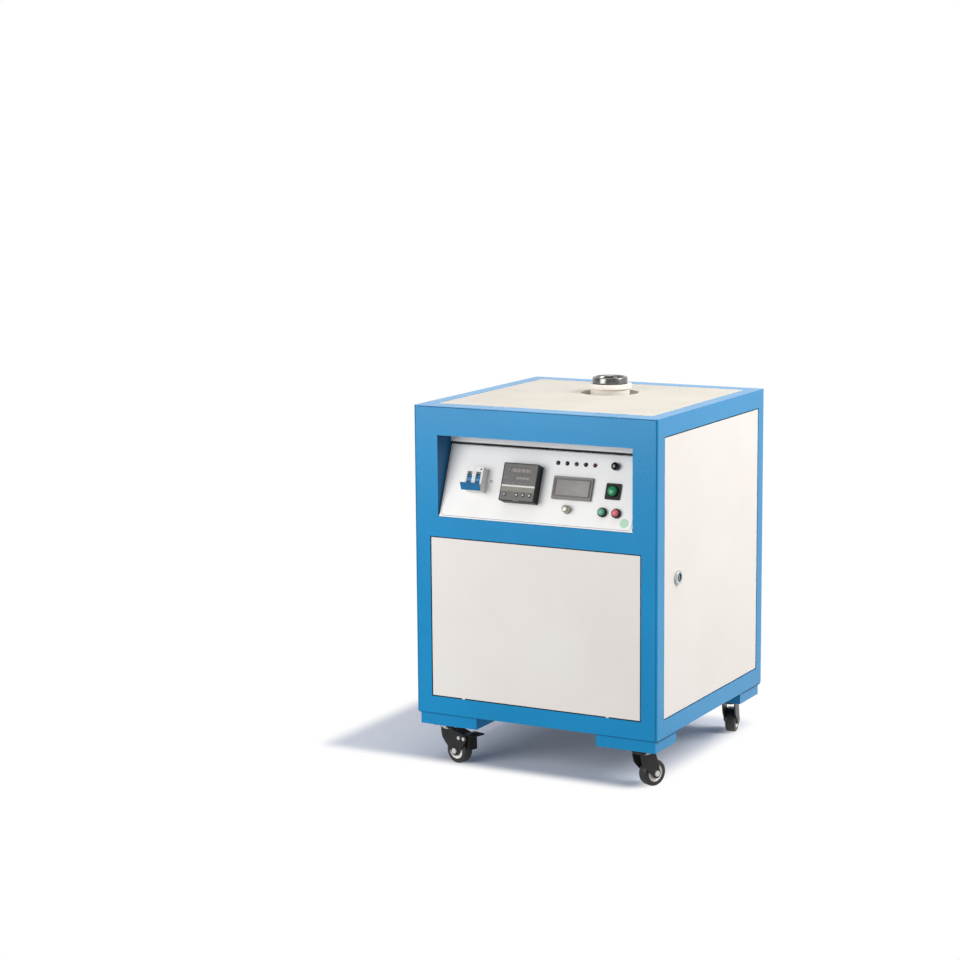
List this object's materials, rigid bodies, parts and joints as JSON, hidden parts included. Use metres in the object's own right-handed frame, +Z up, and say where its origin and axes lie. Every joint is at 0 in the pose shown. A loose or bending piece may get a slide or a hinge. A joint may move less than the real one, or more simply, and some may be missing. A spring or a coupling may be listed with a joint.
{
  "type": "electric melting furnace",
  "caption": "Wheeled sheet-metal induction melting furnace with a top crucible, a sloped control recess and side doors.",
  "frame": {"origin": "on the floor, at the centre of the overall outline in plan, casters as they stand at rest", "axes": "+X to the right seen from the front, +Y to the back, +Z up; the control recess faces -Y"},
  "size_m": [0.509, 0.5492, 0.7216],
  "materials": {
    "aluminium": "extruded",
    "black_plastic": "moulded",
    "blue_paint": "satin",
    "blue_plastic": "moulded",
    "capacitor_film": "moulded",
    "caster_rubber": "moulded",
    "circuit_board": "solder resist",
    "copper": "bare copper",
    "core_steel": "varnished",
    "gloss_black": "polished",
    "graphite": "dark polished graphite",
    "green_plastic": "moulded",
    "grey_plastic": "moulded",
    "hose_rubber": "smooth",
    "knob_grey": "moulded",
    "lamp_lens": "translucent",
    "panel_paint": "matt",
    "pedal_black": "satin",
    "red_plastic": "moulded",
    "refractory": "matt board",
    "sleeve_ceramic": "matt",
    "switch_lens": "translucent",
    "white_paint": "satin",
    "white_plastic": "moulded",
    "zinc": "zinc plated"
  },
  "bodies": {
    "cabinet": {"corner_posts": "blue_paint", "front_header": "blue_paint", "top_rails": "blue_paint", "bottom_rails": "blue_paint", "caster_feet": "blue_paint", "bottom_pan": "blue_paint", "back_panel": "white_paint", "front_panel": "white_paint", "recess_liner": "blue_paint", "control_panel": "panel_paint", "top_board": "refractory", "furnace_shelf": "zinc", "refractory_block": "refractory", "crucible_sleeve": "sleeve_ceramic", "induction_coil": "copper", "coil_terminals": "copper", "capacitor_bank": "capacitor_film", "transformer": "core_steel", "heat_sink": "aluminium", "control_board": "circuit_board", "water_hoses": "hose_rubber", "water_fittings": "zinc", "cable_gland": "black_plastic", "fan_housing": "black_plastic", "breaker_body": "white_plastic", "controller_case": "grey_plastic", "digital_meter": "black_plastic", "indicator_lamps": "lamp_lens", "panel_bushes": "black_plastic", "hinge_pins": "zinc", "caster_plates": "pedal_black", "caster_bolts": "zinc"},
    "left_door_body": {"left_door": "white_paint", "left_lock_housing": "zinc"},
    "right_door_body": {"right_door": "white_paint", "right_lock_housing": "zinc"},
    "fan_rotor_body": {"fan_rotor": "black_plastic"},
    "breaker_toggle_body": {"breaker_toggle": "blue_plastic"},
    "key_set_body": {"key_set": "grey_plastic"},
    "key_left_body": {"key_left": "grey_plastic"},
    "key_down_body": {"key_down": "grey_plastic"},
    "key_up_body": {"key_up": "grey_plastic"},
    "lamp_switch_body": {"lamp_switch": "switch_lens"},
    "start_button_body": {"start_button": "green_plastic"},
    "stop_button_body": {"stop_button": "red_plastic"},
    "power_knob_body": {"power_knob": "knob_grey"},
    "mode_knob_body": {"mode_knob": "gloss_black"},
    "crucible_body": {"crucible": "graphite"},
    "left_lock_cam_body": {"left_lock_cam": "zinc"},
    "right_lock_cam_body": {"right_lock_cam": "zinc"},
    "fork_front_left_body": {"fork_front_left": "pedal_black"},
    "fork_front_right_body": {"fork_front_right": "pedal_black"},
    "fork_rear_left_body": {"fork_rear_left": "pedal_black"},
    "fork_rear_right_body": {"fork_rear_right": "pedal_black"},
    "wheel_front_left_body": {"wheel_front_left": "caster_rubber"},
    "wheel_front_right_body": {"wheel_front_right": "caster_rubber"},
    "wheel_rear_left_body": {"wheel_rear_left": "caster_rubber"},
    "wheel_rear_right_body": {"wheel_rear_right": "caster_rubber"},
    "pedal_front_left_body": {"pedal_front_left": "pedal_black"},
    "pedal_rear_left_body": {"pedal_rear_left": "pedal_black"}
  },
  "joints": [
    {"name": "left_door_swing", "type": "hinge", "parent": "cabinet", "child": "left_door_body", "pos_m": [-0.2445, 0.19663, 0.402], "axis": [0, 0, -1], "range_deg": [0, 110]},
    {"name": "right_door_swing", "type": "hinge", "parent": "cabinet", "child": "right_door_body", "pos_m": [0.2445, 0.19663, 0.402], "axis": [0, 0, 1], "range_deg": [0, 110]},
    {"name": "left_lock_turn", "type": "hinge", "parent": "left_door_body", "child": "left_lock_cam_body", "pos_m": [-0.2495, -0.17697, 0.3905], "axis": [-1, 0, 0], "range_deg": [0, 90]},
    {"name": "right_lock_turn", "type": "hinge", "parent": "right_door_body", "child": "right_lock_cam_body", "pos_m": [0.2495, -0.17697, 0.3905], "axis": [-1, 0, 0], "range_deg": [0, 90]},
    {"name": "crucible_lift", "type": "slide", "parent": "cabinet", "child": "crucible_body", "axis": [0, 0, 1], "range_m": [0, 0.16]},
    {"name": "fan_spin", "type": "hinge", "parent": "cabinet", "child": "fan_rotor_body", "pos_m": [0.125, 0.22113, 0.252], "axis": [0, 1, 0], "continuous": true},
    {"name": "breaker_toggle_swing", "type": "hinge", "parent": "cabinet", "child": "breaker_toggle_body", "pos_m": [-0.129, -0.24674, 0.55348], "axis": [-1, 0, 0], "range_deg": [0, 80]},
    {"name": "key_set_press", "type": "slide", "parent": "cabinet", "child": "key_set_body", "axis": [0, 0.9317, -0.3633], "range_m": [0, 0.0005], "stiffness_N_per_m": 400, "springref_m": -0.0008},
    {"name": "key_left_press", "type": "slide", "parent": "cabinet", "child": "key_left_body", "axis": [0, 0.9317, -0.3633], "range_m": [0, 0.0005], "stiffness_N_per_m": 400, "springref_m": -0.0008},
    {"name": "key_down_press", "type": "slide", "parent": "cabinet", "child": "key_down_body", "axis": [0, 0.9317, -0.3633], "range_m": [0, 0.0005], "stiffness_N_per_m": 400, "springref_m": -0.0008},
    {"name": "key_up_press", "type": "slide", "parent": "cabinet", "child": "key_up_body", "axis": [0, 0.9317, -0.3633], "range_m": [0, 0.0005], "stiffness_N_per_m": 400, "springref_m": -0.0008},
    {"name": "lamp_switch_press", "type": "slide", "parent": "cabinet", "child": "lamp_switch_body", "axis": [0, 0.9317, -0.3633], "range_m": [0, 0.0025], "stiffness_N_per_m": 400, "springref_m": -0.002},
    {"name": "start_button_press", "type": "slide", "parent": "cabinet", "child": "start_button_body", "axis": [0, 0.9317, -0.3633], "range_m": [0, 0.003], "stiffness_N_per_m": 300, "springref_m": -0.002},
    {"name": "stop_button_press", "type": "slide", "parent": "cabinet", "child": "stop_button_body", "axis": [0, 0.9317, -0.3633], "range_m": [0, 0.003], "stiffness_N_per_m": 300, "springref_m": -0.002},
    {"name": "power_knob_turn", "type": "hinge", "parent": "cabinet", "child": "power_knob_body", "pos_m": [0.064, -0.25288, 0.51295], "axis": [0, 0.9317, -0.3633], "range_deg": [0, 300]},
    {"name": "mode_knob_turn", "type": "hinge", "parent": "cabinet", "child": "mode_knob_body", "pos_m": [0.148, -0.22164, 0.59307], "axis": [0, 0.9317, -0.3633], "range_deg": [0, 270]},
    {"name": "caster_swivel_front_left", "type": "hinge", "parent": "cabinet", "child": "fork_front_left_body", "pos_m": [-0.202, -0.22237, 0.078], "axis": [0, 0, 1], "continuous": true},
    {"name": "wheel_spin_front_left", "type": "hinge", "parent": "fork_front_left_body", "child": "wheel_front_left_body", "pos_m": [-0.1803, -0.22831, 0.025], "axis": [0.2639, 0.9646, 0], "continuous": true},
    {"name": "brake_pedal_front_left", "type": "hinge", "parent": "fork_front_left_body", "child": "pedal_front_left_body", "pos_m": [-0.15763, -0.23451, 0.052], "axis": [0.2639, 0.9646, 0], "range_deg": [0, 12]},
    {"name": "caster_swivel_front_right", "type": "hinge", "parent": "cabinet", "child": "fork_front_right_body", "pos_m": [0.202, -0.22237, 0.078], "axis": [0, 0, 1], "continuous": true},
    {"name": "wheel_spin_front_right", "type": "hinge", "parent": "fork_front_right_body", "child": "wheel_front_right_body", "pos_m": [0.21162, -0.20203, 0.025], "axis": [-0.9041, 0.4274, 0], "continuous": true},
    {"name": "caster_swivel_rear_left", "type": "hinge", "parent": "cabinet", "child": "fork_rear_left_body", "pos_m": [-0.202, 0.19263, 0.078], "axis": [0, 0, 1], "continuous": true},
    {"name": "wheel_spin_rear_left", "type": "hinge", "parent": "fork_rear_left_body", "child": "wheel_rear_left_body", "pos_m": [-0.19618, 0.21436, 0.025], "axis": [-0.9659, 0.2588, 0], "continuous": true},
    {"name": "brake_pedal_rear_left", "type": "hinge", "parent": "fork_rear_left_body", "child": "pedal_rear_left_body", "pos_m": [-0.19009, 0.23706, 0.052], "axis": [-0.9659, 0.2588, 0], "range_deg": [0, 12]},
    {"name": "caster_swivel_rear_right", "type": "hinge", "parent": "cabinet", "child": "fork_rear_right_body", "pos_m": [0.202, 0.19263, 0.078], "axis": [0, 0, 1], "continuous": true},
    {"name": "wheel_spin_rear_right", "type": "hinge", "parent": "fork_rear_right_body", "child": "wheel_rear_right_body", "pos_m": [0.19751, 0.21468, 0.025], "axis": [-0.9799, -0.1994, 0], "continuous": true}
  ]
}
